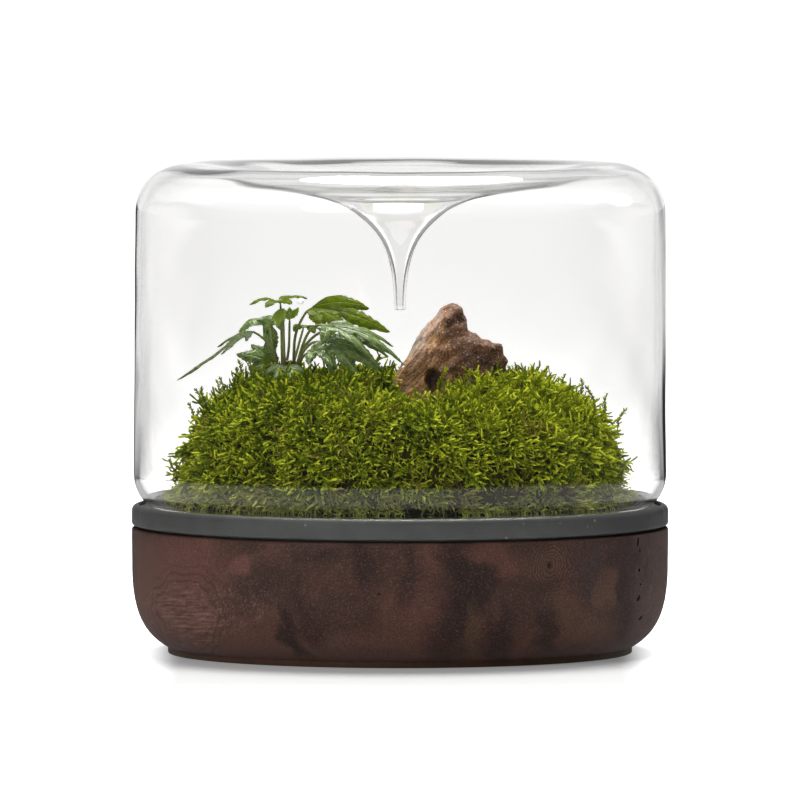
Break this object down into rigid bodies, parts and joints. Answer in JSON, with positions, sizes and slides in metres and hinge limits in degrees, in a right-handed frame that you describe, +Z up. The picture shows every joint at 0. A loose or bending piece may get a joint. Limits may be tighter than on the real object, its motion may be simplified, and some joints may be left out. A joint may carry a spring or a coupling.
{
  "type": "glass plant terrarium",
  "caption": "Round tabletop terrarium: turned wooden base, grey ring with liner, blown glass dome with a drip funnel, moss, stone and a small leafy plant.",
  "frame": {"origin": "the middle of the wooden base's flat underside", "axes": "+Z up; -Y is the front, from which the plant stands left of the middle and the stone right of it"},
  "size_m": [0.22, 0.22, 0.2003],
  "materials": {
    "walnut": "satin",
    "grey_rubber": "satin",
    "soil": "matte",
    "clear_glass": "polished",
    "brown_stone": "matte",
    "stem": "matte",
    "leaf": "satin",
    "deep_leaf": "satin",
    "young_leaf": "satin",
    "moss": "matte"
  },
  "bodies": {
    "root": {"wood_base": "walnut", "growing_tray": "grey_rubber", "soil_bed": "soil", "glass_dome": "clear_glass", "stone": "brown_stone", "plant_crown": "stem", "leaf_top": "leaf", "leaf_back_left": "deep_leaf", "leaf_long": "leaf", "leaf_low_left": "deep_leaf", "leaf_front": "deep_leaf", "leaf_large": "leaf", "leaf_drooping": "deep_leaf", "leaf_low_right": "deep_leaf", "leaf_back_right": "deep_leaf", "leaf_young": "young_leaf", "moss_left": "moss", "moss_front": "moss", "moss_right": "moss", "moss_back": "moss"}
  },
  "joints": []
}
